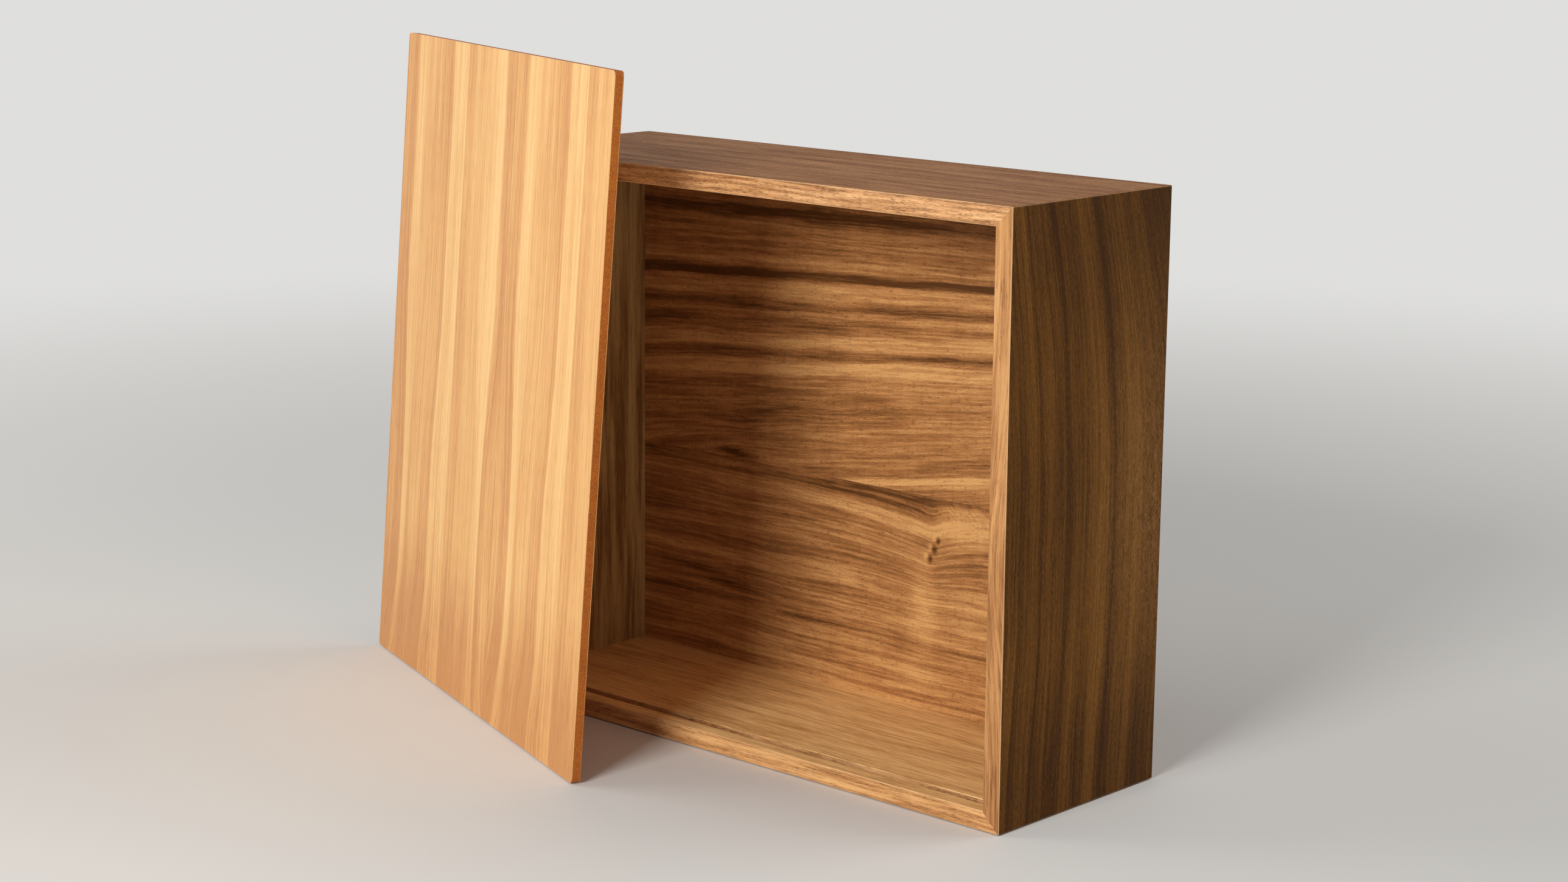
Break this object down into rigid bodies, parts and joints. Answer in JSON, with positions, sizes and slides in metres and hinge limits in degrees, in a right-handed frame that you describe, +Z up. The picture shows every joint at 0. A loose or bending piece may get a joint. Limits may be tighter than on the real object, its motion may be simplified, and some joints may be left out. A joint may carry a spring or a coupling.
{
  "type": "sliding lid box",
  "caption": "Shallow mitred box of walnut-veneered board with an open front and a grooved rim, its flat sliding lid drawn out and leant against a corner.",
  "frame": {"origin": "middle of the box's base, on the surface it stands on", "axes": "+Z up, +X to the right along the box's front, -Y out of the open face towards the viewer"},
  "size_m": [0.473, 0.2115, 0.3534],
  "materials": {
    "core_wood": "plain wood core, cut grain in the grooves, matt",
    "fibreboard": "raw pressed fibre, matt",
    "outer_walnut": "walnut veneer, satin",
    "inner_walnut": "walnut veneer, satin",
    "edge_walnut": "pale walnut edge band, satin",
    "figured_walnut": "figured walnut veneer with knots, satin",
    "lid_walnut": "pale striped walnut veneer, satin"
  },
  "bodies": {
    "box": {"top_core": "core_wood", "top_outer_veneer": "outer_walnut", "top_inner_veneer": "inner_walnut", "top_front_band": "edge_walnut", "top_rear_band": "edge_walnut", "bottom_core": "core_wood", "bottom_outer_veneer": "outer_walnut", "bottom_inner_veneer": "inner_walnut", "bottom_front_band": "edge_walnut", "bottom_rear_band": "edge_walnut", "right_core": "core_wood", "right_outer_veneer": "outer_walnut", "right_inner_veneer": "inner_walnut", "right_front_band": "edge_walnut", "right_rear_band": "edge_walnut", "left_core": "core_wood", "left_outer_veneer": "outer_walnut", "left_inner_veneer": "inner_walnut", "left_front_band": "edge_walnut", "left_rear_band": "edge_walnut", "back_core": "fibreboard", "back_inner_veneer": "figured_walnut", "back_rear_veneer": "outer_walnut"},
    "lid": {"lid_core": "fibreboard", "lid_face_veneer": "lid_walnut", "lid_back_veneer": "lid_walnut"}
  },
  "joints": [
    {"name": "lid_slide", "type": "slide", "parent": "box", "child": "lid", "axis": [-1, 0, 0], "range_m": [0, 0.354]}
  ]
}
